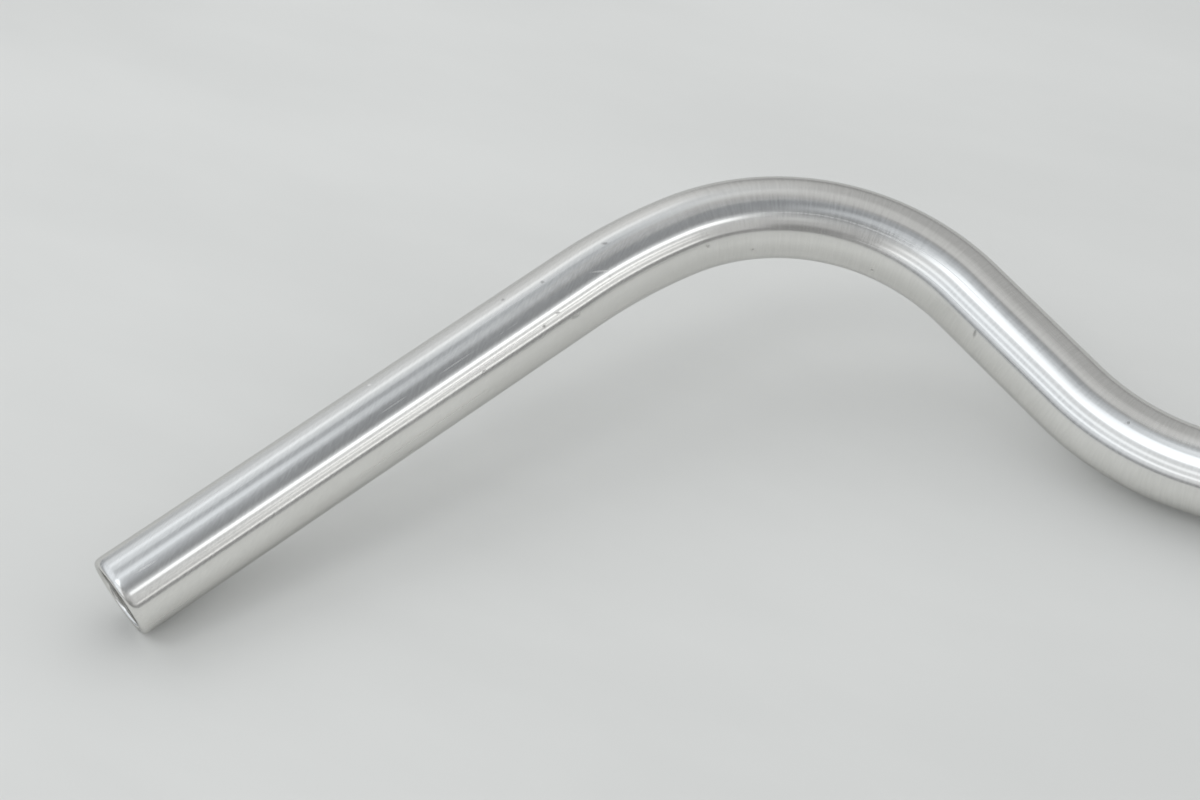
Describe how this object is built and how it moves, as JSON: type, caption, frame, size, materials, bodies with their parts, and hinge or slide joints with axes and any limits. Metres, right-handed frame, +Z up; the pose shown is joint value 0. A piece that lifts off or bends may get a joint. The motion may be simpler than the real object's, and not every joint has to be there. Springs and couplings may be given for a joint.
{
  "type": "bicycle handlebar",
  "caption": "Swept-back bicycle handlebar bent from bare aluminium tube, with a swelled clamp zone, forward-curved legs, long rearward grips and rounded open ends.",
  "frame": {"origin": "middle of the stem clamp zone, on the tube's axis", "axes": "+X along the clamp zone towards the rider's right, +Y forward, +Z up, with the bar lying on its clamp zone and its two open ends"},
  "size_m": [0.5944, 0.1984, 0.0545],
  "materials": {
    "aluminium": "bare, finely brushed and polished"
  },
  "bodies": {
    "root": {"handlebar": "aluminium"}
  },
  "joints": []
}
